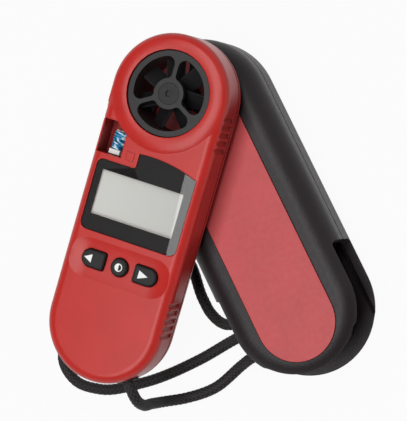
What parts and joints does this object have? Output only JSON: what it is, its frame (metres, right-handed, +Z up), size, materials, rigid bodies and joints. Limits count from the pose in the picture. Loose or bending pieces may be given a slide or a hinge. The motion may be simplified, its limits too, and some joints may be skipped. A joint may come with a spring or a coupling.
{
  "type": "handheld weather meter",
  "caption": "Handheld wind and weather meter with a push-out fan cartridge, display, keys, battery door, wrist cord and a slip-on hard cover.",
  "frame": {"origin": "middle of the flat back of the cover, which lies on the table", "axes": "+Y along the cover to its closed end, +Z up, +X to the right seen from the mouth"},
  "size_m": [0.1186, 0.1262, 0.0436],
  "materials": {
    "red_plastic": "satin moulded",
    "cover_plastic": "fine satin texture",
    "panel_plastic": "smooth satin",
    "fan_plastic": "satin",
    "rubber": "matt",
    "lens": "clear",
    "mask": "gloss",
    "lcd": "pale grey",
    "board": "solder mask",
    "chips": "moulded",
    "steel": "plain",
    "contact_brass": "sprung",
    "white_plastic": "smooth",
    "sensor": "ribbed",
    "magnet": "plain",
    "jewel": "polished",
    "cord": "braided"
  },
  "bodies": {
    "meter": {"front_housing": "red_plastic", "rear_housing": "red_plastic", "housing_seal": "rubber", "housing_screws": "steel", "display_lens": "lens", "display_mask": "mask", "lcd_panel": "lcd", "lcd_connectors": "rubber", "circuit_board": "board", "board_parts": "chips", "dome_switches": "steel", "wind_pickup": "chips", "sensor_carrier": "white_plastic", "sensor_element": "sensor", "coin_cell": "steel", "battery_contacts": "contact_brass", "cord_grommet": "rubber", "cord_stop": "fan_plastic", "wrist_cord": "cord", "cord_sleeve": "fan_plastic"},
    "battery_door": {"battery_door": "fan_plastic", "door_ring": "rubber"},
    "button_left": {"button_left": "rubber"},
    "button_power": {"button_power": "rubber"},
    "button_right": {"button_right": "rubber"},
    "cartridge": {"fan_ring": "fan_plastic", "fan_rear_spider": "fan_plastic", "fan_cap": "fan_plastic", "fan_jewels": "jewel"},
    "impeller": {"impeller": "fan_plastic", "impeller_shaft": "steel", "impeller_magnet": "magnet"},
    "cover": {"cover_front": "cover_plastic", "cover_rear": "cover_plastic", "cover_panel": "panel_plastic"}
  },
  "joints": [
    {"name": "cartridge_push", "type": "slide", "parent": "meter", "child": "cartridge", "axis": [0, 0, 1], "range_m": [0, 0.03]},
    {"name": "impeller_spin", "type": "hinge", "parent": "cartridge", "child": "impeller", "pos_m": [0.00001, 0.04301, 0.034], "axis": [0, 0, 1], "continuous": true},
    {"name": "button_left_press", "type": "slide", "parent": "meter", "child": "button_left", "axis": [0, 0, -1], "range_m": [0, 0.0007], "stiffness_N_per_m": 1200, "springref_m": -0.0002},
    {"name": "button_power_press", "type": "slide", "parent": "meter", "child": "button_power", "axis": [0, 0, -1], "range_m": [0, 0.0007], "stiffness_N_per_m": 1200, "springref_m": -0.0002},
    {"name": "button_right_press", "type": "slide", "parent": "meter", "child": "button_right", "axis": [0, 0, -1], "range_m": [0, 0.0007], "stiffness_N_per_m": 1200, "springref_m": -0.0002},
    {"name": "battery_door_turn", "type": "hinge", "parent": "meter", "child": "battery_door", "pos_m": [-0.04966, -0.00842, 0.0258], "axis": [0, 0, 1], "range_deg": [0, 60]},
    {"name": "cover_slide", "type": "slide", "parent": "meter", "child": "cover", "axis": [0, 1, 0], "range_m": [0, 0.13]}
  ]
}
